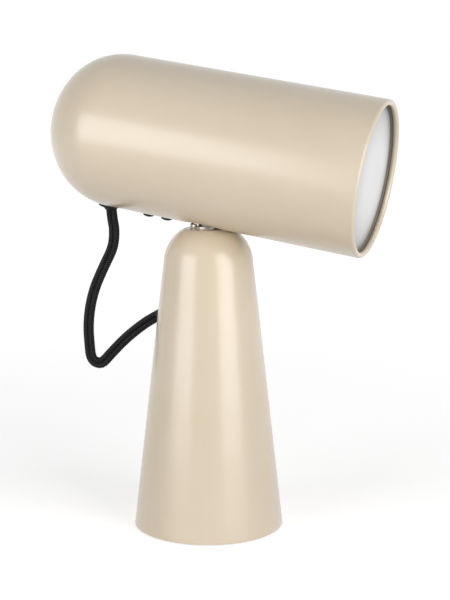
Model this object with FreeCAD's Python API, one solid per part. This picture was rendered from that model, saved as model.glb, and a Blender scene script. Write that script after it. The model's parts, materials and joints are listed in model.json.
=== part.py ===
# Tabletop spotlight lamp: a tapering base, a tilting and turning joint on its rounded top, and a
# drum-shaped head with a domed back. A flat braided cord hangs between head and base at the back.
# Millimetres, +Z up, origin on the table under the centre of the base. The lamp shines towards +X.

import FreeCAD, Part
import math
import os

Vector = FreeCAD.Vector

# Sizes: base
ground_gap = 0.8            # the shell's bottom edge above the table
base_radius = 60.0          # outside, at the bottom edge
base_wall = 1.5
shoulder_radius = 31.5      # rounded shoulder, outside
shoulder_offset = 3.9       # centre of the shoulder's arc from the base's axis
shoulder_drop = 27.7        # centre of the shoulder's arc below the flat
top_height = 240.9          # flat on top of the base
top_edge_radius = 1.7       # rounding between flat and shoulder
pad_margin = 5.0            # inside the shell's bottom edge
pad_thickness = 1.6
plate_thickness = 1.5
plate_gap = 0.4             # round the plate and the weight, inside the shell
weight_height = 12.0
screw_margin = 20.0         # from the shell's bottom edge in to the three base screws
base_screw_count = 3
base_screw_radius = 2.0
base_screw_head_radius = 3.6
base_screw_head_height = 1.1
tab_width = 16.0
tab_thickness = 2.0
tab_height = 18.0
tab_foot = 23.0             # length of the tab's foot, inward from the wall
tab_heel = 0.5              # extra thickness at the foot of the tab's leg
screw_end = 1.5             # of a base screw above its tab

# Sizes: swivel on top of the base
stud_radius = 5.0
stud_length = 22.0          # below the top of the swivel plate
stud_clearance = 0.05
slide_washer_thickness = 0.4
slide_washer_radius = 10.5
swivel_plate_radius = 11.0
swivel_plate_thickness = 1.6
swivel_plate_round = 0.4
stud_tip = 0.8
stud_washer_radius = 11.0
stud_washer_thickness = 1.5
spring_washer_radius = 10.0
spring_washer_thickness = 1.0
spring_washer_rise = 0.9
stud_nut_flats = 17.0
stud_nut_height = 4.5
stud_nut_count = 2

# Sizes: tilting knuckle
pivot_x = -8.6
pivot_rise = 4.1            # above the flat on the base
pivot_above_wall = 0.913    # inside the line of the head's lowest wall, within its seat
knuckle_radius = 1.95
pin_radius = 1.0
pin_clearance = 0.04
tongue_width = 3.4
tongue_thickness = 3.2
thrust_washer_thickness = 0.25
thrust_washer_radius = 1.9
washer_play = 0.025         # on each face of a thrust washer
lug_width = 2.1
boss_radius = 4.7           # round boss on the plate, from which the lugs rise
boss_height = 3.3           # above the plate's underside
boss_round = 1.3
boss_offset = 1.5           # behind the pivot
boss_slot = 0.4             # in front of and behind the tongue's round end

# Sizes: head
head_tilt = 9.14            # degrees nose-down, as the lamp stands at rest
head_radius = 60.5
head_wall = 1.2
head_front = 136.8          # along the head's axis from over the base's axis to the front rim
head_back = 73.3            # back to where the dome begins
dome_depth_share = 0.9174   # of the head's radius
dome_side_share = 0.8678    # radius of the dome's outline next to the side, of the head's radius
rim_bead = 4.5              # the rolled rim's thickness
seat_radius = 21.5          # round flat pressed into the head's underside over the joint
seat_depth = 3.5
seat_centre = 11.9          # along the head's axis
slot_gap = 0.35             # round the tongue in the head's wall
seat_gap = 0.05             # between a seated piece and the curved wall that it lies on

# Sizes: front of the head
diffuser_thickness = 1.8
diffuser_depth = 6.5        # from the front rim to the diffuser's face
diffuser_gap = 0.25
gasket_width = 2.2
retainer_wire = 0.8         # radius of the retaining ring's wire
retainer_opening = 24.0     # degrees

# Sizes: bracket inside the head
bar_back = -50.0            # along the head's axis
bar_front = 10.0
bar_width = 18.0
bar_thickness = 6.6
bracket_screw_back = -41.4  # along the head's axis
bracket_screw_pitch = 15.7
bracket_screw_radius = 2.0
bracket_screw_head_radius = 4.3
bracket_screw_head_height = 2.3
bracket_screw_length = 17.1
bracket_nut_flats = 7.0
bracket_nut_height = 3.2
holder_bracket_thickness = 2.0
holder_bracket_foot = 29.0
holder_bracket_top = 13.0   # the upright's top above the head's axis
screw_clearance = 0.15
thread_gap = 0.04           # between a thread and its nut

# Sizes: lampholder and bulb
nipple_radius = 5.0
nipple_bore = 3.2
nipple_back = 9.0           # behind the upright
nipple_in = 8.0             # into the holder's cap
nipple_nut_flats = 14.0
nipple_nut_height = 3.0
holder_cap_length = 16.0
holder_cap_radius = 14.0
holder_radius = 20.0
holder_length = 40.0
holder_wall = 4.0
holder_socket_depth = 28.0
bulb_cap_radius = 13.2
bulb_cap_length = 26.0
cap_nose = 3.0              # taper at the bulb cap's end
cap_contact_radius = 4.5
bulb_radius = 30.0
bulb_length = 78.0          # glass, from cap to tip
bulb_wall = 0.9
bulb_neck_length = 8.0
bulb_neck_step = 0.8        # neck's radius less the cap's
bulb_neck_lean = 38.0       # degrees at which the neck meets the ball
holder_cap_edge = 6.0       # straight part of the holder's cap

# Sizes: cord and its glands
cord_width = 8.0
cord_thickness = 5.0
head_gland_back = -74.5     # along the head's axis
head_gland_lean = 14.1      # degrees from square to the head's wall, towards the front
head_gland_flange = 7.4
head_gland_reach = 4.2      # from the wall to where the cord comes out
base_gland_share = 0.7053   # its height, of the height of the base's top
base_gland_dip = 28.7       # degrees below the horizontal
base_gland_flange = 6.6
base_gland_reach = 3.0
base_gland_nozzle = 4.6
mains_gland_height = 26.0
mains_gland_flange = 6.6
mains_gland_bore = 3.4
gland_flange_thickness = 1.6
head_gland_nozzle = 5.4
gland_thread_radius = 5.0
gland_thread_length = 11.0
gland_hole_gap = 0.1
gland_nut_flats = 14.0
gland_nut_height = 4.0
gland_nut_spare = 1.0       # of the blank, cut off by the curved wall
lead_radius = 2.5
lead_gap = 0.05

# Sizes: terminal block
block_length = 22.0
block_width = 16.0
block_height = 12.0
block_x = 4.0
block_screw_radius = 1.5
block_screw_head_radius = 2.8
block_screw_head_height = 1.6
block_screw_depth = 7.0     # of its hole in the weight
block_screw_sink = 4.0      # its head's seat below the block's top
block_corner = 2.0

# The cord's way in the lamp's plane of symmetry, x and z. The first part hangs from the head gland's
# face and the second part rises to the base gland's face, and each is given from that face.
cord_first_run = 6.0
cord_last_run = 9.3
cord_down = [
    (2.5, -15.6),
    (1.1, -29.6),
    (-6.9, -44.6),
    (-15.8, -63.1),
    (-20.5, -80.1),
]
cord_up = [
    (-61.8, -13.2),
    (-60.9, -28.2),
    (-59.5, -38.8),
    (-55.3, -42.6),
    (-49.6, -42.4),
    (-41.3, -33.5),
    (-30.0, -21.8),
    (-18.8, -12.3),
]

# The leads inside: each point from the one before it, x and z
base_lead_first_run = 7.0
base_lead_way = [(9.0, -14.0), (3.0, -26.0)]
base_lead_low = [(-7.0, 54.0), (-2.0, 36.0), (0.0, 14.0)]   # from its hole in the terminal block's top
head_lead_first_run = 9.0
head_lead_way = [(-2.0, 16.5), (3.0, 16.0)]                 # from the end of that run
head_lead_last_run = 6.5

# Base: values that follow
shoulder_height = top_height - shoulder_drop
pad_radius = base_radius - pad_margin
screw_circle = base_radius - screw_margin
base_gland_height = base_gland_share * top_height
# The straight side is the line from the bottom edge that touches the shoulder's arc.
edge_to_centre = math.hypot(base_radius - shoulder_offset, shoulder_height - ground_gap)
lean_to_centre = math.atan2(base_radius - shoulder_offset, shoulder_height - ground_gap)
side_lean = lean_to_centre - math.asin(shoulder_radius / edge_to_centre)
side_tan = math.tan(side_lean)
wall_across = base_wall / math.cos(side_lean)
plate_bottom = pad_thickness
weight_bottom = plate_bottom + plate_thickness
weight_top = weight_bottom + weight_height

# Swivel: values that follow
plate_z = top_height + slide_washer_thickness
plate_top = plate_z + swivel_plate_thickness
inner_top = top_height - base_wall
stud_bore = stud_radius + thread_gap

# Head: values that follow
# The dome's outline is two tangent arcs, and the second one, round the pole, has its centre on the axis.
dome_depth = dome_depth_share * head_radius
dome_side_radius = dome_side_share * head_radius
side_arc_rise = head_radius - dome_side_radius
dome_pole_radius = ((dome_depth ** 2 + side_arc_rise ** 2 - dome_side_radius ** 2)
                    / (2 * (dome_depth - dome_side_radius)))
head_inner = head_radius - head_wall
tilt = math.radians(head_tilt)
pivot_height = top_height + pivot_rise
pivot_t = pivot_above_wall - head_radius
pivot_s = (pivot_x - pivot_t * math.sin(tilt)) / math.cos(tilt)
head_axis_height = pivot_height + pivot_s * math.sin(tilt) - pivot_t * math.cos(tilt)
bar_top = -head_inner + bar_thickness
upright_back = bracket_screw_back - bracket_nut_flats + 0.4
holder_bracket_front = upright_back + holder_bracket_foot
holder_back = upright_back + holder_bracket_thickness
holder_mouth = holder_back + holder_cap_length + holder_length
diffuser_face = head_front - diffuser_depth
seat_level = seat_depth - head_radius
cutter_top = seat_level + 2 * head_wall


def side_radius(height, inset=0.0):
    """Radius of the base's straight side at a height above the table, less an inset."""
    return base_radius - (height - ground_gap) * side_tan - inset


def revolve(edges, axis):
    """Solid of revolution of a closed outline in the XZ plane."""
    face = Part.Face(Part.Wire(Part.__sortEdges__(edges)))
    return face.revolve(Vector(0, 0, 0), axis, 360)


def line(a, b):
    return Part.makeLine(Vector(a[0], 0, a[1]), Vector(b[0], 0, b[1]))


def arc(a, middle, b):
    points = [Vector(p[0], 0, p[1]) for p in (a, middle, b)]
    return Part.Arc(*points).toShape()


def outline(points):
    """Straight edges through the points and back to the first."""
    return [line(a, b) for a, b in zip(points, points[1:] + points[:1])]


def cylinder(radius, low, high):
    return Part.makeCylinder(radius, high - low, Vector(0, 0, low))


def tube(outer, inner, low, high):
    return cylinder(outer, low, high).cut(cylinder(inner, low, high))


def cross_bar(radius, length, x, z):
    """Cylinder along Y, centred on the lamp's plane of symmetry."""
    return Part.makeCylinder(radius, length, Vector(x, -length / 2, z), Vector(0, 1, 0))


def block(low, high):
    size = Vector(*high).sub(Vector(*low))
    return Part.makeBox(size.x, size.y, size.z, Vector(*low))


def hexagon(flats, low, high):
    """Nut blank along Z."""
    corner = flats / math.sqrt(3)
    turns = [math.radians(60 * k) for k in range(6)]
    points = [Vector(corner * math.cos(a), corner * math.sin(a), low) for a in turns]
    face = Part.Face(Part.makePolygon(points + points[:1]))
    return face.extrude(Vector(0, 0, high - low))


def nut(flats, bore, low, high):
    """Hexagonal nut along Z, with its corners turned off."""
    corner = flats / math.sqrt(3)
    chamfer = (corner - flats / 2) * 0.6
    shell = outline([(0, low), (corner - chamfer, low), (corner, low + chamfer),
                     (corner, high - chamfer), (corner - chamfer, high), (0, high)])
    blank = hexagon(flats, low, high).common(revolve(shell, Vector(0, 0, 1)))
    return blank.cut(cylinder(bore, low, high))


def pan_screw(head_radius_, head_height, radius, length):
    """Screw along Z: domed head below zero, shaft above."""
    rim = head_height * 0.35
    middle = (head_radius_ * 0.72, -head_height * 0.88)
    edges = [line((0, 0), (head_radius_, 0)), line((head_radius_, 0), (head_radius_, -rim)),
             arc((head_radius_, -rim), middle, (0, -head_height)), line((0, -head_height), (0, 0))]
    head = revolve(edges, Vector(0, 0, 1))
    recess = block((-head_radius_ * 0.5, -0.5, -head_height), (head_radius_ * 0.5, 0.5, -head_height * 0.55))
    cross = recess.fuse(recess.rotated(Vector(0, 0, 0), Vector(0, 0, 1), 90))
    return head.cut(cross).fuse(cylinder(radius, -rim, length)).removeSplitter()


def placed(shape, origin, up):
    """Shape moved so that its +Z points along up, at origin, and its +Y stays."""
    forward = Vector(0, 1, 0)
    side = forward.cross(up)
    turn = FreeCAD.Rotation(side, forward, up, "ZXY")
    result = shape.copy()
    result.Placement = FreeCAD.Placement(origin, turn).multiply(result.Placement)
    return result


def in_head(shape):
    """Shape given along the head's axis, moved into the lamp."""
    turn = FreeCAD.Rotation(Vector(0, 1, 0), head_tilt)
    result = shape.copy()
    result.Placement = FreeCAD.Placement(Vector(0, 0, head_axis_height), turn).multiply(result.Placement)
    return result


def head_to_lamp(s, t):
    """Place in the lamp of a point at s along the head's axis and t above it."""
    return Vector(s * math.cos(tilt) + t * math.sin(tilt), 0,
                  head_axis_height - s * math.sin(tilt) + t * math.cos(tilt))


def base_form(inset):
    """Solid outer form of the base, or with an inset the space inside its wall."""
    radius = shoulder_radius - inset
    top = top_height - inset
    edge = top_edge_radius - inset
    low = ground_gap
    bottom = side_radius(low, inset / math.cos(side_lean))
    touch = (shoulder_offset + radius * math.cos(side_lean), shoulder_height + radius * math.sin(side_lean))
    # The rounding touches the flat from below and the shoulder from inside.
    corner_z = top - edge
    corner_x = shoulder_offset + math.sqrt((radius - edge) ** 2 - (corner_z - shoulder_height) ** 2)
    out = math.atan2(corner_z - shoulder_height, corner_x - shoulder_offset)
    meet = (corner_x + edge * math.cos(out), corner_z + edge * math.sin(out))
    mid_turn = (out + side_lean) / 2
    mid = (shoulder_offset + radius * math.cos(mid_turn), shoulder_height + radius * math.sin(mid_turn))
    edge_turn = (out + math.pi / 2) / 2
    edge_mid = (corner_x + edge * math.cos(edge_turn), corner_z + edge * math.sin(edge_turn))
    edges = [line((0, low), (bottom, low)), line((bottom, low), touch), arc(touch, mid, meet),
             arc(meet, edge_mid, (corner_x, top)), line((corner_x, top), (0, top)), line((0, top), (0, low))]
    return revolve(edges, Vector(0, 0, 1))


def head_form(inset):
    """Solid outer form of the head along X, or with an inset the space inside its wall."""
    radius = head_radius - inset
    pole_centre = dome_pole_radius - head_back - dome_depth

    def on_side_arc(turn):
        reach = dome_side_radius - inset
        return (-head_back + reach * math.cos(turn), side_arc_rise + reach * math.sin(turn))

    def on_pole_arc(turn):
        reach = dome_pole_radius - inset
        return (pole_centre + reach * math.cos(turn), reach * math.sin(turn))

    meet_turn = math.atan2(side_arc_rise, -head_back - pole_centre)
    side_end = (-head_back, radius)
    meet = on_pole_arc(meet_turn)
    pole = on_pole_arc(math.pi)
    edges = [line(side_end, (head_front, radius)), line((head_front, radius), (head_front, 0)),
             line((head_front, 0), pole), arc(pole, on_pole_arc((meet_turn + math.pi) / 2), meet),
             arc(meet, on_side_arc((meet_turn + math.pi / 2) / 2), side_end)]
    return revolve(edges, Vector(1, 0, 0))


def tube_along(points, section, label):
    """Solid that carries a section along straight runs joined by tangent arcs, in the plane y = 0."""
    solids = []
    length = 0.0
    start = points[0]
    radii = []
    for before, corner, after in zip(points, points[1:], points[2:]):
        into = corner.sub(before)
        out = after.sub(corner)
        turn = into.getAngle(out)
        cut = 0.45 * min(into.Length, out.Length)
        radius = cut / math.tan(turn / 2)
        radii.append(radius)
        into.normalize()
        out.normalize()
        enter = corner.sub(Vector(into).multiply(cut))
        leave = corner.add(Vector(out).multiply(cut))
        solids.append(section(start, into).extrude(enter.sub(start)))
        axis = into.cross(out)
        axis.normalize()
        centre = enter.add(axis.cross(into).multiply(radius))
        solids.append(section(enter, into).revolve(centre, axis, math.degrees(turn)))
        length += enter.sub(start).Length + radius * turn
        start = leave
    last = points[-1].sub(start)
    length += last.Length
    way = Vector(last).normalize()
    solids.append(section(start, way).extrude(last))
    solid = solids[0].multiFuse(solids[1:])
    area = section(points[0], points[1].sub(points[0]).normalize()).Area
    print(label, "length %.1f" % length, "volume / section x length %.4f" % (solid.Volume / area / length),
          "solids", len(solid.Solids), "radii", [round(r, 1) for r in radii])
    return solid


def flat_section(origin, way):
    """Cross-section of the flat cord: wide in the plane of its bends, round at both edges."""
    half = (cord_width - cord_thickness) / 2
    wide = way.cross(Vector(0, 1, 0)).normalize()
    thick = Vector(0, cord_thickness / 2, 0)
    near = origin.sub(Vector(wide).multiply(half))
    far = origin.add(Vector(wide).multiply(half))
    reach = Vector(wide).multiply(cord_width / 2)
    edges = [Part.makeLine(near.sub(thick), far.sub(thick)),
             Part.Arc(far.sub(thick), origin.add(reach), far.add(thick)).toShape(),
             Part.makeLine(far.add(thick), near.add(thick)),
             Part.Arc(near.add(thick), origin.sub(reach), near.sub(thick)).toShape()]
    return Part.Face(Part.Wire(edges))


def round_section(origin, way):
    return Part.Face(Part.Wire(Part.Circle(origin, way, lead_radius).toShape()))


def gland(flange_radius, nozzle_radius, lean, reach, bore):
    """Cord gland along Z, seated at zero with its cord side above. Lean turns its nozzle to +X."""
    centre = Vector(0, 0, 0)
    across_ = Vector(0, 1, 0)
    thread = cylinder(gland_thread_radius, -gland_thread_length, 0)
    half = gland_flange_thickness / 2
    skirt = cylinder(flange_radius, -2 * gland_flange_thickness, half)
    cone = Part.makeCone(flange_radius, flange_radius - half, half, Vector(0, 0, half))
    nozzle = cylinder(nozzle_radius, 0, reach).rotated(centre, across_, lean)
    # The cord's room past the nozzle is cut from the flange too.
    room = cylinder(nozzle_radius, reach, reach + flange_radius).rotated(centre, across_, lean)
    hole = cylinder(bore, 0, reach).rotated(centre, across_, lean)
    hole = hole.fuse(cylinder(bore, -gland_thread_length, 0)).fuse(Part.makeSphere(bore, centre))
    return thread, skirt.fuse(cone).cut(room), nozzle, hole


def seated_gland(parts, origin, up, wall, outer, inner):
    """Gland set in a wall: its flange is cut to the wall's outside. The nut is cut to its inside."""
    thread, flange, nozzle, hole = [placed(part, origin, up) for part in parts]
    body = flange.fuse(nozzle).cut(outer).fuse(thread).cut(hole)
    depth = wall + gland_nut_height + gland_nut_spare
    blank = hexagon(gland_nut_flats, -depth, 0).cut(cylinder(gland_thread_radius + thread_gap, -depth, 0))
    ring = placed(blank, origin, up).common(inner)
    return body.removeSplitter(), ring


def wall_hole(origin, up):
    hole = cylinder(gland_thread_radius + gland_hole_gap, -gland_thread_length, gland_thread_length)
    return placed(hole, origin, up)


# Base
base_outer = base_form(0.0)
base_inner = base_form(base_wall)
rear_up = Vector(-math.cos(side_lean), 0, math.sin(side_lean))
across = Vector(0, 1, 0)


def rear_point(height):
    return Vector(-side_radius(height), 0, height)


base_gland_seat = rear_point(base_gland_height)
mains_gland_seat = rear_point(mains_gland_height)


def make_base_shell():
    shell = base_outer.cut(base_inner)
    shell = shell.cut(cylinder(stud_radius + stud_clearance, inner_top - base_wall, top_height + base_wall))
    for seat in (base_gland_seat, mains_gland_seat):
        shell = shell.cut(wall_hole(seat, rear_up))
    return shell


def disc_in_base(low, high):
    """Tapered disc that follows the inside of the base's wall."""
    outer = [(0, low), (side_radius(low, wall_across + plate_gap), low),
             (side_radius(high, wall_across + plate_gap), high), (0, high)]
    return revolve(outline(outer), Vector(0, 0, 1))


def around_base(shape):
    """The same shape at each base screw."""
    step = 360 / base_screw_count
    return [shape.rotated(Vector(0, 0, 0), Vector(0, 0, 1), step * k) for k in range(base_screw_count)]


def make_base_pieces():
    screw_hole = cylinder(base_screw_radius + screw_clearance, 0, weight_top + 1)
    screw_hole.translate(Vector(screw_circle, 0, 0))
    head_hole = cylinder(base_screw_head_radius + screw_clearance * 4, 0, pad_thickness)
    head_hole.translate(Vector(screw_circle, 0, 0))
    block_hole = cylinder(block_screw_radius + thread_gap, weight_top - block_screw_depth, weight_top)
    block_hole.translate(Vector(block_x, 0, 0))
    pad = cylinder(pad_radius, 0, pad_thickness)
    plate = disc_in_base(plate_bottom, weight_bottom)
    weight = disc_in_base(weight_bottom, weight_top).cut(block_hole)
    for hole in around_base(screw_hole):
        plate = plate.cut(hole)
        weight = weight.cut(hole)
    for hole in around_base(head_hole):
        pad = pad.cut(hole)
    wall_at = side_radius(weight_top, wall_across)
    foot = block((wall_at - tab_foot, -tab_width / 2, weight_top),
                 (wall_at, tab_width / 2, weight_top + tab_thickness))
    leg_top = weight_top + tab_height
    leg_low = side_radius(leg_top, wall_across) - tab_thickness
    leg_points = [(wall_at - tab_thickness - tab_heel, weight_top), (base_radius, weight_top),
                  (base_radius, leg_top), (leg_low, leg_top)]
    leg_face = Part.Face(Part.Wire(outline(leg_points)))
    leg = leg_face.extrude(Vector(0, tab_width, 0))
    leg.translate(Vector(0, -tab_width / 2, 0))
    inside = base_form(base_wall + seat_gap)
    thread = cylinder(base_screw_radius + thread_gap, weight_top - 1, weight_top + tab_thickness + 1)
    thread.translate(Vector(screw_circle, 0, 0))
    tab = foot.fuse(leg).common(inside).removeSplitter().cut(thread)
    screw_length = weight_top + tab_thickness + screw_end - plate_bottom
    screw = pan_screw(base_screw_head_radius, base_screw_head_height, base_screw_radius, screw_length)
    screw.translate(Vector(screw_circle, 0, plate_bottom))
    return {
        "foot_pad": pad,
        "base_plate": plate,
        "base_weight": weight,
        "wall_tabs": Part.makeCompound(around_base(tab)),
        "base_screws": Part.makeCompound(around_base(screw)),
    }


def make_terminal_block():
    low = weight_top
    body = block((block_x - block_length / 2, -block_width / 2, low),
                 (block_x + block_length / 2, block_width / 2, low + block_height))
    upright = [edge for edge in body.Edges if abs(edge.tangentAt(edge.FirstParameter).z) > 0.9]
    body = body.makeFillet(block_corner, upright)
    seat = low + block_height - block_screw_sink
    hole = cylinder(block_screw_radius + screw_clearance, low, low + block_height)
    sink = cylinder(block_screw_head_radius + screw_clearance, seat, low + block_height)
    drill = hole.fuse(sink)
    drill.translate(Vector(block_x, 0, 0))
    body = body.cut(drill)
    screw = pan_screw(block_screw_head_radius, block_screw_head_height, block_screw_radius,
                      seat - low + block_screw_depth - screw_end)
    screw = screw.rotated(Vector(0, 0, 0), Vector(1, 0, 0), 180)
    screw.translate(Vector(block_x, 0, seat))
    return {"terminal_block": body, "terminal_screw": screw}


# Swivel
def make_swivel_pieces():
    lug_inner = tongue_width / 2 + thrust_washer_thickness + 2 * washer_play
    plate = cylinder(swivel_plate_radius, plate_z, plate_top)
    rim = [edge for edge in plate.Edges if edge.BoundBox.ZMin > plate_top - 0.01 and edge.Closed]
    plate = plate.makeFillet(swivel_plate_round, rim)
    plate = plate.cut(cylinder(stud_bore, plate_z, plate_top))
    for side in (-1, 1):
        near = side * lug_inner
        far = side * (lug_inner + lug_width)
        low, high = sorted((near, far))
        cheek = block((pivot_x - knuckle_radius, low, plate_z + swivel_plate_thickness / 2),
                      (pivot_x + knuckle_radius, high, pivot_height))
        barrel = Part.makeCylinder(knuckle_radius, high - low, Vector(pivot_x, low, pivot_height), across)
        plate = plate.fuse(cheek).fuse(barrel)
    boss = cylinder(boss_radius, plate_z, plate_z + boss_height)
    boss = boss.makeFillet(boss_round, [edge for edge in boss.Edges
                                        if edge.BoundBox.ZMin > plate_z + boss_height - 0.01 and edge.Closed])
    boss.translate(Vector(pivot_x - boss_offset, 0, 0))
    slot_reach = knuckle_radius + boss_slot
    slot = block((pivot_x - slot_reach, -lug_inner, plate_top),
                 (pivot_x + slot_reach, lug_inner, pivot_height + 2 * knuckle_radius))
    plate = plate.fuse(boss).cut(slot)
    reach = 2 * (lug_inner + lug_width)
    pin_hole = cross_bar(pin_radius + pin_clearance / 2, reach, pivot_x, pivot_height)
    plate = plate.removeSplitter().cut(pin_hole)
    stud_low = plate_top - stud_length
    stud = cylinder(stud_radius, stud_low, plate_top)
    tip = [edge for edge in stud.Edges if edge.BoundBox.ZMax < stud_low + 0.01 and edge.Closed]
    stud = stud.makeChamfer(stud_tip, tip)
    pin = cross_bar(pin_radius, reach, pivot_x, pivot_height)
    washers = []
    for side in (-1, 1):
        at = side * (tongue_width / 2 + washer_play)
        if side < 0:
            at -= thrust_washer_thickness
        ring = Part.makeCylinder(thrust_washer_radius, thrust_washer_thickness,
                                 Vector(pivot_x, at, pivot_height), across)
        washers.append(ring.cut(pin_hole))
    slide = tube(slide_washer_radius, stud_radius + 2 * stud_clearance, top_height, plate_z)
    flat_low = inner_top - stud_washer_thickness
    flat = tube(stud_washer_radius, stud_bore, flat_low, inner_top)
    cup = [(stud_bore, flat_low - spring_washer_thickness - spring_washer_rise),
           (stud_bore, flat_low - spring_washer_rise), (spring_washer_radius, flat_low),
           (spring_washer_radius, flat_low - spring_washer_thickness)]
    cup_washer = revolve(outline(cup), Vector(0, 0, 1))
    nut_top = flat_low - spring_washer_thickness - spring_washer_rise
    nuts = []
    for k in range(stud_nut_count):
        high = nut_top - k * stud_nut_height
        nuts.append(nut(stud_nut_flats, stud_bore, high - stud_nut_height, high))
    return {
        "swivel_plate": plate,
        "swivel_stud": stud,
        "tilt_pin": pin,
        "thrust_washers": Part.makeCompound(washers),
        "slide_washer": slide,
        "stud_washer": flat,
        "spring_washer": cup_washer,
        "stud_nuts": Part.makeCompound(nuts),
    }


# Head
bracket_screws_at = [bracket_screw_back, bracket_screw_back + bracket_screw_pitch]
head_gland_seat = Vector(head_gland_back, 0, -head_radius)
down = Vector(0, 0, -1)


def seated_form(inset):
    """The head's form with the round seat in its underside, or the space that far inside it."""
    seat = cylinder(seat_radius + inset, -2 * head_radius, seat_level + inset)
    seat.translate(Vector(seat_centre, 0, 0))
    return head_form(inset).cut(seat)


head_outer = seated_form(0.0)
head_space = seated_form(head_wall)


def make_head_shell():
    bead = rim_bead / 2
    centre = (head_front - bead, head_radius - bead)
    back = centre[0] - math.sqrt(bead ** 2 - (head_inner - centre[1]) ** 2)
    slant = bead * math.sqrt(0.5)
    inner_mid = (centre[0] - slant, centre[1] - slant)
    inner_end = (centre[0], centre[1] - bead)
    rim_edges = [line((centre[0], head_radius), (back, head_radius)),
                 line((back, head_radius), (back, head_inner)),
                 arc((back, head_inner), inner_mid, inner_end),
                 arc(inner_end, (head_front, centre[1]), (centre[0], head_radius))]
    rim = revolve(rim_edges, Vector(1, 0, 0))
    front = Part.makeCylinder(head_radius + 1, head_front - back, Vector(back, 0, 0), Vector(1, 0, 0))
    shell = head_outer.cut(head_space).cut(front).fuse(rim).removeSplitter()
    for s in bracket_screws_at:
        hole = cylinder(bracket_screw_radius + screw_clearance, -head_radius - 1, cutter_top)
        hole.translate(Vector(s, 0, 0))
        shell = shell.cut(hole)
    slot = block((pivot_s - tongue_thickness / 2 - slot_gap, -tongue_width / 2 - slot_gap, -head_radius - 1),
                 (pivot_s + tongue_thickness / 2 + slot_gap, tongue_width / 2 + slot_gap, cutter_top))
    return shell.cut(slot).cut(wall_hole(head_gland_seat, down))


def make_tilt_bracket():
    bar = block((bar_back, -bar_width / 2, -head_radius), (bar_front, bar_width / 2, bar_top))
    bar = bar.common(seated_form(head_wall + seat_gap))
    tongue = block((pivot_s - tongue_thickness / 2, -tongue_width / 2, pivot_t),
                   (pivot_s + tongue_thickness / 2, tongue_width / 2, bar_top - head_wall))
    barrel = cross_bar(knuckle_radius, tongue_width, pivot_s, pivot_t)
    bracket = bar.fuse(tongue).fuse(barrel).removeSplitter()
    bracket = bracket.cut(cross_bar(pin_radius + pin_clearance, tongue_width, pivot_s, pivot_t))
    for s in bracket_screws_at:
        hole = cylinder(bracket_screw_radius + thread_gap, -head_radius, bar_top)
        hole.translate(Vector(s, 0, 0))
        bracket = bracket.cut(hole)
    return bracket


def make_bracket_screws():
    screws = []
    nuts = []
    nut_low = bar_top + holder_bracket_thickness
    for s in bracket_screws_at:
        lift = Vector(s, 0, -head_radius)
        screw = pan_screw(bracket_screw_head_radius, bracket_screw_head_height, bracket_screw_radius,
                          bracket_screw_length)
        screw.translate(lift)
        screws.append(screw)
        ring = nut(bracket_nut_flats, bracket_screw_radius + thread_gap, nut_low,
                   nut_low + bracket_nut_height)
        ring.translate(Vector(s, 0, 0))
        nuts.append(ring)
    return Part.makeCompound(screws), Part.makeCompound(nuts)


def make_holder_bracket():
    foot = block((upright_back, -bar_width / 2, bar_top),
                 (holder_bracket_front, bar_width / 2, bar_top + holder_bracket_thickness))
    upright = block((upright_back, -bar_width / 2, bar_top), (holder_back, bar_width / 2, holder_bracket_top))
    bracket = foot.fuse(upright).removeSplitter()
    for s in bracket_screws_at:
        hole = cylinder(bracket_screw_radius + screw_clearance, bar_top, bar_top + holder_bracket_thickness)
        hole.translate(Vector(s, 0, 0))
        bracket = bracket.cut(hole)
    through = Part.makeCylinder(nipple_radius + screw_clearance, holder_bracket_thickness,
                                Vector(upright_back, 0, 0), Vector(1, 0, 0))
    return bracket.cut(through)


def make_lampholder():
    forward = Vector(1, 0, 0)
    nipple_low = upright_back - nipple_back
    nipple_high = holder_back + nipple_in
    nipple = placed(tube(nipple_radius, nipple_bore, nipple_low, nipple_high), Vector(0, 0, 0), forward)
    ring = nut(nipple_nut_flats, nipple_radius + thread_gap, upright_back - nipple_nut_height, upright_back)
    cap_front = holder_back + holder_cap_length
    cap = [(nipple_radius + thread_gap, holder_back), (holder_cap_radius, holder_back),
           (holder_radius, cap_front - holder_cap_edge), (holder_radius, cap_front),
           (nipple_radius + thread_gap, cap_front)]
    socket_low = holder_mouth - holder_socket_depth
    inner = holder_radius - holder_wall
    body = [(0, cap_front), (holder_radius, cap_front), (holder_radius, holder_mouth), (inner, holder_mouth),
            (inner, socket_low), (0, socket_low)]
    return {
        "holder_nipple": nipple,
        "nipple_nut": placed(ring, Vector(0, 0, 0), forward),
        "lampholder_cap": placed(revolve(outline(cap), Vector(0, 0, 1)), Vector(0, 0, 0), forward),
        "lampholder_body": placed(revolve(outline(body), Vector(0, 0, 1)), Vector(0, 0, 0), forward),
    }


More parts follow.
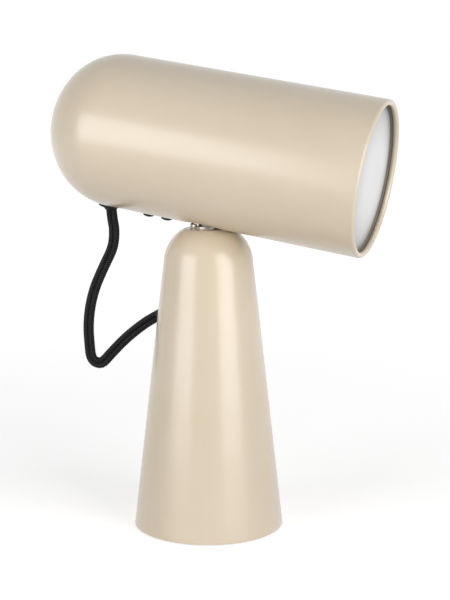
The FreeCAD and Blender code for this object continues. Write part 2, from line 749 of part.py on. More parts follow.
def make_bulb():
    cap_low = holder_mouth - holder_socket_depth
    cap_high = cap_low + bulb_cap_length
    cap = [(0, cap_low), (cap_contact_radius, cap_low), (bulb_cap_radius, cap_low + cap_nose),
           (bulb_cap_radius, cap_high), (0, cap_high)]
    ball = cap_high + bulb_length - bulb_radius
    lean = math.radians(bulb_neck_lean)
    neck_radius = bulb_cap_radius + bulb_neck_step
    neck_top = cap_high + bulb_neck_length
    touch = (bulb_radius * math.cos(lean), ball - bulb_radius * math.sin(lean))
    middle = (math.pi / 2 - lean) / 2
    side = (bulb_radius * math.cos(middle), ball + bulb_radius * math.sin(middle))
    wall = bulb_wall
    in_radius = bulb_radius - wall
    in_neck = neck_radius - wall
    in_touch = (in_radius * math.cos(lean), ball - in_radius * math.sin(lean))
    in_side = (in_radius * math.cos(middle), ball + in_radius * math.sin(middle))
    glass = [line((in_neck, cap_high), (neck_radius, cap_high)),
             line((neck_radius, cap_high), (neck_radius, neck_top)), line((neck_radius, neck_top), touch),
             arc(touch, side, (0, ball + bulb_radius)), line((0, ball + bulb_radius), (0, ball + in_radius)),
             arc((0, ball + in_radius), in_side, in_touch), line(in_touch, (in_neck, neck_top)),
             line((in_neck, neck_top), (in_neck, cap_high))]
    forward = Vector(1, 0, 0)
    return {
        "bulb_cap": placed(revolve(outline(cap), Vector(0, 0, 1)), Vector(0, 0, 0), forward),
        "bulb_glass": placed(revolve(glass, Vector(0, 0, 1)), Vector(0, 0, 0), forward),
    }


def make_front():
    forward = Vector(1, 0, 0)
    radius = head_inner - diffuser_gap
    disc = cylinder(radius, diffuser_face - diffuser_thickness, diffuser_face)
    gasket_front = head_front - rim_bead - seat_gap
    gasket = tube(radius, radius - gasket_width, diffuser_face, gasket_front)
    wire_s = diffuser_face - diffuser_thickness - retainer_wire - seat_gap
    middle = head_inner - seat_gap - retainer_wire
    start = Vector(middle, 0, wire_s)
    face = Part.Face(Part.Wire(Part.Circle(start, Vector(0, 1, 0), retainer_wire).toShape()))
    ring = face.revolve(Vector(0, 0, 0), Vector(0, 0, 1), 360 - retainer_opening)
    ring = ring.rotated(Vector(0, 0, 0), Vector(0, 0, 1), retainer_opening / 2)
    return {
        "diffuser": placed(disc, Vector(0, 0, 0), forward),
        "diffuser_gasket": placed(gasket, Vector(0, 0, 0), forward),
        "retaining_ring": placed(ring, Vector(0, 0, 0), forward),
    }


# Glands and the leads inside
lead_bore = lead_radius + lead_gap


def make_glands():
    parts = gland(head_gland_flange, head_gland_nozzle, -head_gland_lean, head_gland_reach, lead_bore)
    head_one, head_ring = seated_gland(parts, head_gland_seat, down, head_wall, head_outer, head_space)
    lean = base_gland_dip + math.degrees(side_lean)
    parts = gland(base_gland_flange, base_gland_nozzle, -lean, base_gland_reach, lead_bore)
    base_one, base_ring = seated_gland(parts, base_gland_seat, rear_up, base_wall, base_outer, base_inner)
    parts = gland(mains_gland_flange, base_gland_nozzle, 0, gland_flange_thickness, mains_gland_bore)
    mains_one, mains_ring = seated_gland(parts, mains_gland_seat, rear_up, base_wall, base_outer, base_inner)
    return {
        "head_gland": in_head(head_one),
        "head_gland_nut": in_head(head_ring),
        "base_gland": base_one,
        "base_gland_nut": base_ring,
        "mains_gland": mains_one,
        "mains_gland_nut": mains_ring,
    }


head_exit_turn = math.radians(head_gland_lean - head_tilt)
head_exit_way = Vector(math.sin(head_exit_turn), 0, -math.cos(head_exit_turn))
head_gland_face = Vector(head_exit_way).multiply(head_gland_reach)
cord_start = head_to_lamp(head_gland_seat.x, head_gland_seat.z).add(head_gland_face)
base_exit_way = Vector(-math.cos(math.radians(base_gland_dip)), 0, -math.sin(math.radians(base_gland_dip)))
cord_end = base_gland_seat.add(Vector(base_exit_way).multiply(base_gland_reach))


def make_cord():
    points = [cord_start, cord_start.add(Vector(head_exit_way).multiply(cord_first_run))]
    points += [cord_start.add(Vector(x, 0, z)) for x, z in cord_down]
    points += [cord_end.add(Vector(x, 0, z)) for x, z in cord_up]
    points += [cord_end.add(Vector(base_exit_way).multiply(cord_last_run)), cord_end]
    print("cord points", [(round(p.x, 2), round(p.z, 2)) for p in points])
    return tube_along(points, flat_section, "cord")


def steps_from(point, steps):
    """Points reached one after the other by steps of x and z."""
    points = []
    for x, z in steps:
        point = point.add(Vector(x, 0, z))
        points.append(point)
    return points


def make_leads():
    inward = Vector(rear_up).multiply(-1)
    inner_end = base_gland_seat.add(Vector(inward).multiply(gland_thread_length))
    first = inner_end.add(Vector(inward).multiply(base_lead_first_run))
    block_end = Vector(block_x - block_length / 4, 0, weight_top + block_height)
    points = [inner_end, first] + steps_from(first, base_lead_way)
    points += [block_end.add(Vector(x, 0, z)) for x, z in base_lead_low] + [block_end]
    base_lead = tube_along(points, round_section, "base lead")
    gland_end = head_gland_seat.add(Vector(0, 0, gland_thread_length))
    nipple_end = Vector(upright_back - nipple_back, 0, 0)
    first = gland_end.add(Vector(0, 0, head_lead_first_run))
    points = [gland_end, first] + steps_from(first, head_lead_way)
    points += [nipple_end.sub(Vector(head_lead_last_run, 0, 0)), nipple_end]
    head_lead = tube_along(points, round_section, "head lead")
    return base_lead, in_head(head_lead)


def build():
    """Every named piece of the lamp."""
    pieces = {"base_shell": make_base_shell()}
    pieces.update(make_base_pieces())
    pieces.update(make_terminal_block())
    pieces.update(make_swivel_pieces())
    pieces["head_shell"] = in_head(make_head_shell())
    pieces["tilt_bracket"] = in_head(make_tilt_bracket())
    screws, nuts = make_bracket_screws()
    pieces["bracket_screws"] = in_head(screws)
    pieces["bracket_nuts"] = in_head(nuts)
    pieces["holder_bracket"] = in_head(make_holder_bracket())
    for group in (make_lampholder(), make_bulb(), make_front()):
        for name, shape in group.items():
            pieces[name] = in_head(shape)
    pieces.update(make_glands())
    pieces["cord"] = make_cord()
    pieces["base_lead"], pieces["head_lead"] = make_leads()
    return pieces


os.makedirs("parts", exist_ok=True)
for name, shape in build().items():
    box = shape.BoundBox
    print("%-18s solids %d valid %s volume %9.1f  x %.1f..%.1f  y %.1f..%.1f  z %.1f..%.1f" % (
        name, len(shape.Solids), shape.isValid(), shape.Volume,
        box.XMin, box.XMax, box.YMin, box.YMax, box.ZMin, box.ZMax))
    shape.exportStep("parts/%s.step" % name)
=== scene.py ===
"""Tabletop spotlight lamp: satin beige base and head, metal swivel, black braided cord."""
import json
import math

import bmesh
import bpy
import numpy as np
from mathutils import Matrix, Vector


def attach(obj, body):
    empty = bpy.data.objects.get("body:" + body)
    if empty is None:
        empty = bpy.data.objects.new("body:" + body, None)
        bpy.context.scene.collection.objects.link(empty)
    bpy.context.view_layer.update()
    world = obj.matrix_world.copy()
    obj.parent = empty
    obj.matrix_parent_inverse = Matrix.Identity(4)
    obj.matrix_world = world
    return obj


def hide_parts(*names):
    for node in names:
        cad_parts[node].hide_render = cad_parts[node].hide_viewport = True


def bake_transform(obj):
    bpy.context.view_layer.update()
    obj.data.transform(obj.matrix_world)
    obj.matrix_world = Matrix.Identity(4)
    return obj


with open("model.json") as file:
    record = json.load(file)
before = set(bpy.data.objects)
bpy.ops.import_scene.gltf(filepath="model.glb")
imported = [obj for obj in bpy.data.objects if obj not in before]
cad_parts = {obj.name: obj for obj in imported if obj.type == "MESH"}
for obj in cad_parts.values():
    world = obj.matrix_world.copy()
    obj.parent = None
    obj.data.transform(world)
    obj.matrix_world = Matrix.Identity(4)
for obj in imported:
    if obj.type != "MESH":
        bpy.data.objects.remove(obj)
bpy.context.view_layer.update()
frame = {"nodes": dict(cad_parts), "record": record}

MM = 0.001
FULL_TURN = 2.0 * math.pi
# The head's axis leans down by this much, and crosses the base's axis at this height, in millimetres.
HEAD_TILT = math.radians(9.14)
HEAD_AXIS = 303.98
HEAD_RADIUS = 60.5


# Helpers for objects, closed meshes and lines of points
def add_object(name, data):
    one = bpy.data.objects.new(name, data)
    bpy.context.collection.objects.link(one)
    return one


def face_outward(mesh, merge=0.0):
    """Turns the faces of a closed mesh outwards, after points closer than merge are made one."""
    bm = bmesh.new()
    bm.from_mesh(mesh)
    if merge:
        bmesh.ops.remove_doubles(bm, verts=bm.verts, dist=merge)
    bmesh.ops.recalc_face_normals(bm, faces=bm.faces)
    bm.to_mesh(mesh)
    bm.free()


def smooth_piece(name, mesh):
    """Object for a closed mesh, smooth, with its faces outwards."""
    face_outward(mesh)
    mesh.polygons.foreach_set("use_smooth", [True] * len(mesh.polygons))
    return add_object(name, mesh)


def ring_faces(rings, sides, first=0):
    """Quads between rings of points, ring after ring."""
    faces = []
    for low in range(first, first + (rings - 1) * sides, sides):
        for j in range(sides):
            nxt = (j + 1) % sides
            faces.append((low + j, low + nxt, low + sides + nxt, low + sides + j))
    return faces


def run_lengths(points):
    """Distance from the first point to each one, along the line through them."""
    return np.concatenate([[0.0], np.cumsum(np.linalg.norm(np.diff(points, axis=0), axis=1))])


def places_along(points, runs, at):
    """Points at these distances along the line."""
    return np.stack([np.interp(at, runs, points[:, k]) for k in range(points.shape[1])], axis=1)


# Camera: the photograph's viewpoint
CAMERA_PLACE = (0.36727, -1.01431, 0.36349)
CAMERA_YAW, CAMERA_PITCH = math.radians(19.207), math.radians(9.473)
CAMERA_LENS, CAMERA_SENSOR = 82.69, 36.0


def make_camera():
    level = math.cos(CAMERA_PITCH)
    way = Vector((-math.sin(CAMERA_YAW) * level, math.cos(CAMERA_YAW) * level, -math.sin(CAMERA_PITCH)))
    data = bpy.data.cameras.new("photo_camera")
    data.sensor_width = CAMERA_SENSOR
    data.lens = CAMERA_LENS
    data.clip_start, data.clip_end = 0.05, 20.0
    camera = add_object("photo_camera", data)
    camera.location = CAMERA_PLACE
    camera.rotation_euler = way.to_track_quat("-Z", "Y").to_euler()
    bpy.context.scene.camera = camera


make_camera()

# Cord: its route in the lamp's plane of symmetry, from the head gland to the base gland
CORD_ROUTE = [
    (-0.08297, 0.25389), (-0.08228, 0.24591), (-0.08030, 0.23629), (-0.08170, 0.22229),
    (-0.08970, 0.20729), (-0.09860, 0.18879), (-0.10330, 0.17179), (-0.10501, 0.15527),
    (-0.10420, 0.14210), (-0.10330, 0.13140), (-0.10030, 0.12680), (-0.09510, 0.12550),
    (-0.09110, 0.12760), (-0.08490, 0.13460), (-0.07321, 0.14667), (-0.06201, 0.15617),
    (-0.05137, 0.16400), (-0.04321, 0.16847),
]
ROUTE_DETAIL = 48               # points of the smooth line for each span of its spline
LOBE_RADIUS = 2.50 * MM         # each of the flat cord's two cores, in its braid
LOBE_APART = 1.95 * MM          # from the cord's middle to the middle of a core
STITCH = 2.03 * MM              # one crossing of the braid, along the cord
STITCHES_AROUND = 6
STITCH_RELIEF = 0.30 * MM
CORD_SIDES = 112
AIM = 0.4 * MM                  # how far before and after a point its direction is taken
PATH_EVERY = 12                 # rings from one point of the declared path to the next


def cord_line():
    """Points of the smooth line through the cord's route, read from its spline."""
    curve = bpy.data.curves.new("cord_route", "CURVE")
    curve.dimensions = "3D"
    spline = curve.splines.new("NURBS")
    spline.points.add(len(CORD_ROUTE) - 1)
    for point, (x, z) in zip(spline.points, CORD_ROUTE):
        point.co = (x, 0.0, z, 1.0)
    spline.order_u = 3
    spline.use_endpoint_u = True
    spline.resolution_u = ROUTE_DETAIL
    route = add_object("cord_route", curve)
    bpy.context.view_layer.update()
    line = bpy.data.meshes.new_from_object(route)
    points = np.array([v.co for v in line.vertices])
    bpy.data.objects.remove(route)
    bpy.data.meshes.remove(line)
    return points


def cord_section():
    """Outline of the flat cord across its width and thickness, with a groove between its cores."""
    turns = np.linspace(0.0, FULL_TURN, 4001)
    wide, side = np.cos(turns), np.sin(turns)
    reach = LOBE_APART * np.abs(wide) + np.sqrt(LOBE_RADIUS ** 2 - (LOBE_APART * side) ** 2)
    outline = np.stack([reach * wide, reach * side], axis=1)
    runs = run_lengths(outline)
    return places_along(outline, runs, np.linspace(0.0, runs[-1], CORD_SIDES + 1)[:-1])


def braid_relief(along, around):
    """Height of the braid's strands, which cross over and under one another."""
    one = along + around
    other = along - around
    over = (np.floor(one) + np.floor(other)) % 2.0
    across = np.where(over > 0.5, one % 1.0, other % 1.0)
    length = np.where(over > 0.5, other % 1.0, one % 1.0)
    return np.sin(math.pi * across) ** 0.7 * (0.45 + 0.55 * np.sin(math.pi * length)) - 0.5


def lay_braid(mesh, stitches):
    """The braid's own coordinates: stitches along the cord, given for each ring, and around it."""
    rows = np.repeat(np.arange(len(stitches) - 1), CORD_SIDES)
    cols = np.tile(np.arange(CORD_SIDES), len(stitches) - 1)
    step = STITCHES_AROUND / CORD_SIDES
    values = np.zeros((len(mesh.loops), 2))
    for k, (ahead, over) in enumerate(((0, 0), (0, 1), (1, 1), (1, 0))):
        values[k:len(rows) * 4:4, 0] = stitches[rows + ahead]
        values[k:len(rows) * 4:4, 1] = (cols + over) * step
    layer = mesh.uv_layers.new(name="braid")
    layer.data.foreach_set("uv", values.ravel())


def cord_piece(name, line, begin, end, rings):
    """Braided cord between two distances along its line, and the path that it follows."""
    runs = run_lengths(line)
    at = np.linspace(begin, end, rings)
    middle = places_along(line, runs, at)
    way = places_along(line, runs, at + AIM) - places_along(line, runs, at - AIM)
    way /= np.linalg.norm(way, axis=1)[:, None]
    thick = np.array([0.0, 1.0, 0.0])
    wide = np.cross(way, thick)
    section = cord_section()
    before, after = np.roll(section, 1, axis=0), np.roll(section, -1, axis=0)
    outward = np.stack([after[:, 1] - before[:, 1], before[:, 0] - after[:, 0]], axis=1)
    outward /= np.linalg.norm(outward, axis=1)[:, None]
    around = np.arange(CORD_SIDES) / CORD_SIDES * STITCHES_AROUND
    relief = STITCH_RELIEF * braid_relief((at / STITCH)[:, None], around[None, :])
    flat = section[None, :, :] + outward[None, :, :] * relief[:, :, None]
    verts = middle[:, None, :] + wide[:, None, :] * flat[:, :, 0:1] + thick[None, None, :] * flat[:, :, 1:2]
    caps = [tuple(range(CORD_SIDES)), tuple(range((rings - 1) * CORD_SIDES, rings * CORD_SIDES))]
    mesh = bpy.data.meshes.new(name)
    mesh.from_pydata(verts.reshape(-1, 3).tolist(), [], ring_faces(rings, CORD_SIDES) + caps)
    lay_braid(mesh, at / STITCH)
    path = middle[::PATH_EVERY].tolist() + [middle[-1].tolist()]
    return smooth_piece(name, mesh), [tuple(p) for p in path]


route_line = cord_line()
route_runs = run_lengths(route_line)
route_length = float(route_runs[-1])
low_at = float(route_runs[int(np.argmin(route_line[:, 2]))])
cord_head_side, head_side_points = cord_piece("cord_head_side", route_line, 0.0, low_at, rings=860)
cord_base_side, base_side_points = cord_piece("cord_base_side", route_line, low_at, route_length, rings=560)


# Materials: what they share comes first
def srgb(r, g, b):
    def one(c):
        c /= 255
        return c / 12.92 if c <= 0.04045 else ((c + 0.055) / 1.055) ** 2.4
    return (one(r), one(g), one(b), 1.0)


def put(tree, kind, settings=None, **inputs):
    """Node with its settings and inputs. An input is a value or another node's output."""
    one = tree.nodes.new(kind)
    for name, value in (settings or {}).items():
        setattr(one, name, value)
    for name, value in inputs.items():
        key = int(name[1:]) if name[0] == "i" and name[1:].isdigit() else name.replace("_", " ")
        if isinstance(value, bpy.types.NodeSocket):
            tree.links.new(value, one.inputs[key])
        else:
            one.inputs[key].default_value = value
    return one


def new_material(name, **values):
    """Material with its shader, and the place on the object in metres."""
    material = bpy.data.materials.new(name)
    material.use_nodes = True
    tree = material.node_tree
    body = tree.nodes["Principled BSDF"]
    for key, value in values.items():
        body.inputs[key.replace("_", " ")].default_value = value
    place = put(tree, "ShaderNodeTexCoord").outputs["Object"]
    return material, tree, body, place


def speckle(tree, place, scale, detail=2.0, roughness=0.5):
    return put(tree, "ShaderNodeTexNoise", Vector=place, Scale=scale, Detail=detail,
               Roughness=roughness).outputs["Fac"]


def spread(tree, value, low, high, start_at=0.3, end_at=0.7):
    return put(tree, "ShaderNodeMapRange", Value=value, From_Min=start_at, From_Max=end_at, To_Min=low,
               To_Max=high).outputs["Result"]


def blend_colors(tree, factor, a, b):
    return put(tree, "ShaderNodeMix", {"data_type": "RGBA"}, i0=factor, i6=a, i7=b).outputs[2]


def combine(tree, operation, a, b=0.0):
    return put(tree, "ShaderNodeMath", {"operation": operation}, i0=a, i1=b).outputs[0]


def raise_bumps(tree, body, height, distance, strength=1.0):
    bump = put(tree, "ShaderNodeBump", Height=height, Distance=distance, Strength=strength)
    tree.links.new(bump.outputs["Normal"], body.inputs["Normal"])


def satin_powder_coat():
    """Baked powder paint: a low orange peel with a finer grain, and the faintest drift of tone."""
    material, tree, body, place = new_material("satin_powder_coat", Specular_IOR_Level=0.5,
                                               Coat_Weight=0.6, Coat_Roughness=0.22)
    drift = speckle(tree, place, 14.0, 3.0)
    color = blend_colors(tree, spread(tree, drift, 0.0, 1.0), srgb(217, 201, 176), srgb(222, 207, 184))
    tree.links.new(color, body.inputs["Base Color"])
    peel = speckle(tree, place, 700.0, 1.0)
    grain = speckle(tree, place, 2600.0, 2.0)
    rough = spread(tree, grain, 0.30, 0.38)
    tree.links.new(rough, body.inputs["Roughness"])
    height = combine(tree, "ADD", peel, combine(tree, "MULTIPLY", grain, 0.35))
    raise_bumps(tree, body, height, 0.00004, 0.6)
    return material


def plated(name, bright, dull, rough_low, rough_high, scale, stretch=(1, 1, 1)):
    """Bare or plated metal with fine marks, drawn out along one direction."""
    material, tree, body, place = new_material(name, Metallic=1.0)
    drawn = put(tree, "ShaderNodeMapping", Vector=place, Scale=stretch).outputs["Vector"]
    marks = speckle(tree, drawn, scale, 4.0, 0.6)
    cloud = speckle(tree, place, scale * 0.07, 2.0)
    color = blend_colors(tree, spread(tree, cloud, 0.0, 1.0), bright, dull)
    tree.links.new(color, body.inputs["Base Color"])
    tree.links.new(spread(tree, marks, rough_low, rough_high), body.inputs["Roughness"])
    raise_bumps(tree, body, marks, 0.00001, 0.5)
    return material


def moulded(name, color_a, color_b, rough_low, rough_high, grain=1800.0, depth=0.00003, **values):
    """Moulded plastic or rubber with a fine eroded texture and slightly uneven tone."""
    material, tree, body, place = new_material(name, **values)
    tone = speckle(tree, place, grain * 0.05, 3.0)
    skin = speckle(tree, place, grain, 3.0, 0.6)
    color = blend_colors(tree, spread(tree, tone, 0.0, 1.0), color_a, color_b)
    tree.links.new(color, body.inputs["Base Color"])
    tree.links.new(spread(tree, skin, rough_low, rough_high), body.inputs["Roughness"])
    raise_bumps(tree, body, skin, depth, 0.7)
    return material


def rough_casting():
    """Sand-cast weight: coarse lumps, fine pits and dark skin with a little rust in the hollows."""
    material, tree, body, place = new_material("rough_casting", Metallic=0.6)
    lumps = speckle(tree, place, 320.0, 6.0, 0.7)
    rust = spread(tree, speckle(tree, place, 60.0, 5.0, 0.6), 0.0, 1.0, 0.55, 0.75)
    color = blend_colors(tree, rust, (0.055, 0.055, 0.058, 1), (0.11, 0.06, 0.035, 1))
    tree.links.new(color, body.inputs["Base Color"])
    tree.links.new(spread(tree, lumps, 0.55, 0.85), body.inputs["Roughness"])
    raise_bumps(tree, body, lumps, 0.0006)
    return material


def opal_diffuser():
    """Opal acrylic, satin on its face, with a faint cloudiness in its depth and painted shade towards its
    edge.
    """
    material, tree, body, place = new_material(
        "opal_acrylic", Subsurface_Weight=0.25, Subsurface_Radius=(0.004, 0.004, 0.004),
        Subsurface_Scale=1.0, IOR=1.49)
    cloud = speckle(tree, place, 22.0, 3.0)
    color = blend_colors(tree, spread(tree, cloud, 0.0, 1.0), srgb(231, 231, 231), srgb(236, 236, 236))
    # Painted shade: the opal's colour darkens to grey towards its edge, standing in for the shade of the
    # housing's rim around it.
    axis_drop = -HEAD_AXIS * MM * math.cos(HEAD_TILT)
    turned = put(tree, "ShaderNodeMapping", Vector=place, Rotation=(0.0, -HEAD_TILT, 0.0),
                 Location=(0.0, 0.0, axis_drop)).outputs["Vector"]
    flat = put(tree, "ShaderNodeVectorMath", {"operation": "MULTIPLY"}, i0=turned,
               i1=(0.0, 1.0, 1.0)).outputs["Vector"]
    radius = put(tree, "ShaderNodeVectorMath", {"operation": "LENGTH"}, i0=flat).outputs["Value"]
    edge = combine(tree, "POWER", spread(tree, radius, 0.0, 1.0, 0.016, 0.057), 2.2)
    color = blend_colors(tree, edge, color, srgb(150, 151, 152))
    tree.links.new(color, body.inputs["Base Color"])
    satin = speckle(tree, place, 3200.0, 2.0)
    tree.links.new(spread(tree, satin, 0.30, 0.42), body.inputs["Roughness"])
    raise_bumps(tree, body, satin, 0.00001, 0.5)
    return material


def opal_bulb():
    """Opal glass of the bulb, glossy, with a faint cloud in its white."""
    material, tree, body, place = new_material(
        "opal_bulb_glass", Subsurface_Weight=0.3, Subsurface_Radius=(0.003, 0.003, 0.003),
        Coat_Weight=0.6, Coat_Roughness=0.04)
    cloud = speckle(tree, place, 30.0, 2.0)
    color = blend_colors(tree, spread(tree, cloud, 0.0, 1.0), (0.80, 0.80, 0.78, 1), (0.86, 0.86, 0.84, 1))
    tree.links.new(color, body.inputs["Base Color"])
    tree.links.new(spread(tree, cloud, 0.14, 0.22), body.inputs["Roughness"])
    return material


def braided_textile():
    """Black braid in the cord's own stitch coordinates: strands that cross, each of fine twisted yarns, with
    painted highlight on their crowns and painted shade between them.
    """
    material, tree, body, _ = new_material("black_braided_textile", Specular_IOR_Level=0.09)
    stitch = put(tree, "ShaderNodeUVMap", {"uv_map": "braid"}).outputs["UV"]
    split = put(tree, "ShaderNodeSeparateXYZ", Vector=stitch)
    along, around = split.outputs["X"], split.outputs["Y"]
    one = combine(tree, "ADD", along, around)
    other = combine(tree, "SUBTRACT", along, around)
    cells = combine(tree, "ADD", combine(tree, "FLOOR", one), combine(tree, "FLOOR", other))
    over = combine(tree, "FLOORED_MODULO", cells, 2.0)
    across = put(tree, "ShaderNodeMix", Factor=over, A=other, B=one).outputs[0]
    length = put(tree, "ShaderNodeMix", Factor=over, A=one, B=other).outputs[0]
    # Five yarns lie side by side in each strand, and each is twisted.
    twist = combine(tree, "MULTIPLY", length, 2.0)
    yarn_at = combine(tree, "ADD", combine(tree, "MULTIPLY", across, 5.0),
                      combine(tree, "MULTIPLY", twist, 0.25))
    yarn = combine(tree, "PINGPONG", yarn_at, 0.5)
    ply_at = combine(tree, "ADD", combine(tree, "MULTIPLY", length, 9.0), yarn_at)
    ply = combine(tree, "PINGPONG", ply_at, 0.5)
    edge = combine(tree, "PINGPONG", across, 0.5)
    fibre = put(tree, "ShaderNodeTexNoise", {"noise_dimensions": "2D"}, Vector=stitch, Scale=22.0,
                Detail=3.0).outputs["Fac"]
    # Painted light: the colour is brightest on each strand's crown and its yarns and near black between them,
    # standing in for highlight and shade.
    light = combine(tree, "ADD", combine(tree, "MULTIPLY", yarn, 0.3), combine(tree, "MULTIPLY", edge, 1.8))
    light = combine(tree, "MULTIPLY", combine(tree, "POWER", light, 1.5), spread(tree, fibre, 0.6, 1.3))
    # Painted shade: the colour darkens towards the groove between the cores.
    half = STITCHES_AROUND / 4
    from_core = combine(tree, "SUBTRACT", combine(tree, "MODULO", around, 2 * half), half)
    groove = combine(tree, "ABSOLUTE", from_core)
    light = combine(tree, "MULTIPLY", light, spread(tree, groove, 0.25, 1.0, 0.04, 0.30))
    color = blend_colors(tree, light, (0.0002, 0.0002, 0.0002, 1), (0.042, 0.042, 0.043, 1))
    tree.links.new(color, body.inputs["Base Color"])
    tree.links.new(spread(tree, fibre, 0.26, 0.40), body.inputs["Roughness"])
    fuzz = combine(tree, "ADD", combine(tree, "MULTIPLY", ply, 0.35), combine(tree, "MULTIPLY", fibre, 0.3))
    raise_bumps(tree, body, combine(tree, "ADD", yarn, fuzz), 0.00012, 0.8)
    return material


looks = {
    "beige_paint": satin_powder_coat(),
    # The swivel steel's warm, dim tone is painted reflection of the beige paint around the joint.
    "polished_steel": plated("swivel_steel", (0.36, 0.33, 0.285, 1), (0.29, 0.265, 0.23, 1),
                             0.28, 0.40, 1500.0, (1, 1, 4)),
    "zinc_steel": plated("zinc_plated_steel", (0.60, 0.62, 0.64, 1), (0.52, 0.52, 0.50, 1),
                         0.28, 0.45, 900.0),
    "dark_steel": plated("phosphated_steel", (0.10, 0.10, 0.105, 1), (0.06, 0.06, 0.062, 1),
                         0.38, 0.6, 1200.0),
    "black_screws": moulded("black_oxide_screws", (0.006, 0.006, 0.007, 1), (0.012, 0.012, 0.012, 1),
                            0.34, 0.48, 2500.0, 0.00001, Specular_IOR_Level=0.2),
    "cast_iron": rough_casting(),
    "foot_rubber": moulded("foot_rubber", (0.020, 0.020, 0.020, 1), (0.032, 0.032, 0.031, 1),
                           0.7, 0.9, 900.0, 0.00006),
    # A real rubber gasket, but its brownish grey is painted shade: it stands in for the shaded beige inner
    # wall of the rim.
    "gasket_rubber": moulded("gasket_rubber", (0.23, 0.205, 0.17, 1), (0.26, 0.235, 0.195, 1),
                             0.65, 0.85, 1200.0, 0.00003),
    "black_plastic": moulded("black_plastic", (0.009, 0.009, 0.0095, 1), (0.015, 0.015, 0.016, 1),
                             0.42, 0.58, Specular_IOR_Level=0.22),
    "white_plastic": moulded("white_plastic", (0.74, 0.74, 0.71, 1), (0.80, 0.80, 0.78, 1), 0.40, 0.55),
    "opal_plastic": opal_diffuser(),
    "opal_glass": opal_bulb(),
    "bulb_metal": plated("bulb_cap_metal", (0.62, 0.62, 0.61, 1), (0.55, 0.55, 0.54, 1),
                         0.22, 0.4, 1100.0),
    "brass": plated("plain_brass", (0.62, 0.46, 0.20, 1), (0.50, 0.35, 0.15, 1), 0.22, 0.42, 1300.0),
    "lead_sheath": moulded("lead_sheath", (0.020, 0.020, 0.020, 1), (0.030, 0.030, 0.030, 1),
                           0.40, 0.55, 1500.0, 0.00002),
    "black_braid": braided_textile(),
}
slots = {row["node"]: row["material_slot"] for row in frame["record"]["subparts"]}
for name, piece in frame["nodes"].items():
    piece.data.materials.clear()
    piece.data.materials.append(looks[slots[name]])
for piece in (cord_head_side, cord_base_side):
    piece.data.materials.append(looks["black_braid"])


# Geometry Nodes: trees for turned shells and for rows of screws
def new_tree(name, inputs):
    """Tree with a geometry in and out, and its named inputs."""
    tree = bpy.data.node_groups.new(name, "GeometryNodeTree")
    tree.is_modifier = True
    face = tree.interface
    face.new_socket("Geometry", in_out="INPUT", socket_type="NodeSocketGeometry")
    for label, kind, value in inputs:
        socket = face.new_socket(label, in_out="INPUT", socket_type=kind)
        if value is not None:
            socket.default_value = value
    face.new_socket("Geometry", in_out="OUTPUT", socket_type="NodeSocketGeometry")
    given = tree.nodes.new("NodeGroupInput").outputs
    return tree, given


def close_tree(tree, shape, finish):
    """End of every tree: real geometry with its finish."""
    smooth = put(tree, "GeometryNodeSetShadeSmooth", Geometry=shape)
    real = put(tree, "GeometryNodeRealizeInstances", Geometry=smooth.outputs[0])
    dressed = put(tree, "GeometryNodeSetMaterial", Geometry=real.outputs[0], Material=finish)
    out = tree.nodes.new("NodeGroupOutput")
    tree.links.new(dressed.outputs[0], out.inputs[0])


def turned_shell_tree():
    """Turns an outline of x and z round the Z axis, then cuts two round holes in its rear wall."""
    tree, given = new_tree("turned_shell", [
        ("Segments", "NodeSocketInt", 160), ("Hole Radius", "NodeSocketFloat", 0.005),
        ("Hole Lean", "NodeSocketFloat", 0.0), ("Upper Hole", "NodeSocketVector", None),
        ("Lower Hole", "NodeSocketVector", None), ("Finish", "NodeSocketMaterial", None)])
    outline = given["Geometry"]
    count = put(tree, "GeometryNodeAttributeDomainSize", Geometry=outline).outputs["Point Count"]
    # The grid's columns go round the axis and its rows along the closed outline.
    grid = put(tree, "GeometryNodeMeshGrid", Size_X=1.0, Size_Y=1.0,
               Vertices_X=combine(tree, "ADD", given["Segments"], 1.0),
               Vertices_Y=combine(tree, "ADD", count, 1.0)).outputs["Mesh"]
    place = put(tree, "GeometryNodeInputPosition").outputs[0]
    cell = put(tree, "ShaderNodeSeparateXYZ", Vector=place).outputs
    turn = combine(tree, "MULTIPLY", combine(tree, "ADD", cell["X"], 0.5), FULL_TURN)
    row = combine(tree, "MULTIPLY", combine(tree, "ADD", cell["Y"], 0.5), count)
    row = combine(tree, "FLOORED_MODULO", combine(tree, "ROUND", row), count)
    found = put(tree, "GeometryNodeSampleIndex", {"data_type": "FLOAT_VECTOR", "domain": "POINT"},
                Geometry=outline, Value=place, Index=row).outputs["Value"]
    at = put(tree, "ShaderNodeSeparateXYZ", Vector=found).outputs
    spun = put(tree, "ShaderNodeCombineXYZ",
               X=combine(tree, "MULTIPLY", at["X"], combine(tree, "COSINE", turn)),
               Y=combine(tree, "MULTIPLY", at["X"], combine(tree, "SINE", turn)), Z=at["Z"]).outputs[0]
    shell = put(tree, "GeometryNodeSetPosition", Geometry=grid, Position=spun).outputs[0]
    shell = put(tree, "GeometryNodeMergeByDistance", Geometry=shell, Distance=0.000002).outputs[0]
    lean = put(tree, "ShaderNodeCombineXYZ", Y=given["Hole Lean"]).outputs[0]
    cutters = tree.nodes.new("GeometryNodeJoinGeometry")
    for hole in ("Upper Hole", "Lower Hole"):
        drill = put(tree, "GeometryNodeMeshCylinder", Vertices=64, Radius=given["Hole Radius"], Depth=0.02)
        moved = put(tree, "GeometryNodeTransform", Geometry=drill.outputs["Mesh"], Translation=given[hole],
                    Rotation=lean)
        tree.links.new(moved.outputs[0], cutters.inputs[0])
    cut = put(tree, "GeometryNodeMeshBoolean", {"operation": "DIFFERENCE", "solver": "EXACT"})
    tree.links.new(shell, cut.inputs["Mesh 1"])
    tree.links.new(cutters.outputs[0], cut.inputs["Mesh 2"])
    close_tree(tree, cut.outputs["Mesh"], given["Finish"])
    return tree


